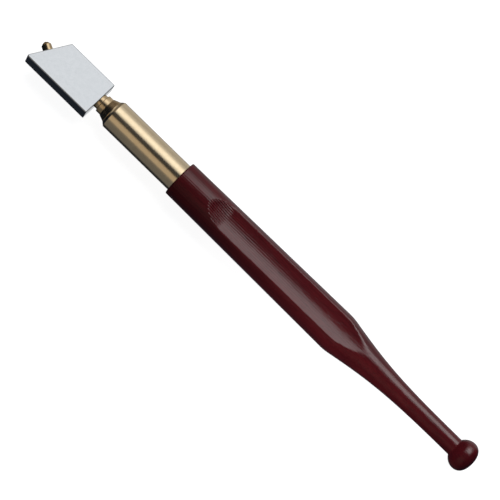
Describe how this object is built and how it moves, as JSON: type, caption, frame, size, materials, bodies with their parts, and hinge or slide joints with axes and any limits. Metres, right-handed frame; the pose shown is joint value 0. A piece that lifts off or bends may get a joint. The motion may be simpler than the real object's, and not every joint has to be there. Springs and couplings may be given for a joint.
{
  "type": "glass cutter",
  "caption": "Pencil-like glass cutter: slanted steel guide head that swivels on a brass ferrule, diamond in a brass stub on its sole, red hardwood handle with finger rests and a ball end.",
  "frame": {"origin": "bottom centre of the whole tool as it lies with a finger rest facing up", "axes": "+X along the tool from the cutting head to the ball end, +Z out of the upper finger rest"},
  "size_m": [0.1758, 0.0136, 0.012],
  "materials": {
    "lacquered_wood": "dark red gloss lacquer over open-grained hardwood",
    "brass": "turned and polished",
    "brass_dark": "turned, darkened with age",
    "bronze": "plain",
    "polished_steel": "mirror polished, edges broken",
    "plain_steel": "turned",
    "spring_steel": "drawn wire",
    "solder": "as flowed",
    "diamond": "natural crystal"
  },
  "bodies": {
    "handle": {"handle": "lacquered_wood", "ferrule": "brass", "ferrule_pin": "brass", "nose_bush": "brass", "thrust_washer": "bronze", "swivel_spring": "spring_steel"},
    "head": {"head_block": "polished_steel", "swivel_spindle": "brass_dark", "stop_pin": "plain_steel", "tang_pin": "plain_steel", "spring_washer": "plain_steel", "spindle_nut": "brass", "lock_nut": "brass", "diamond_holder": "brass_dark", "diamond": "diamond", "diamond_solder": "solder", "holder_solder": "solder"}
  },
  "joints": [
    {"name": "head_swivel", "type": "hinge", "parent": "handle", "child": "head", "pos_m": [-0.06385, 0, 0.00601], "axis": [1, 0, 0], "range_deg": [-16.8, 33.2]}
  ]
}
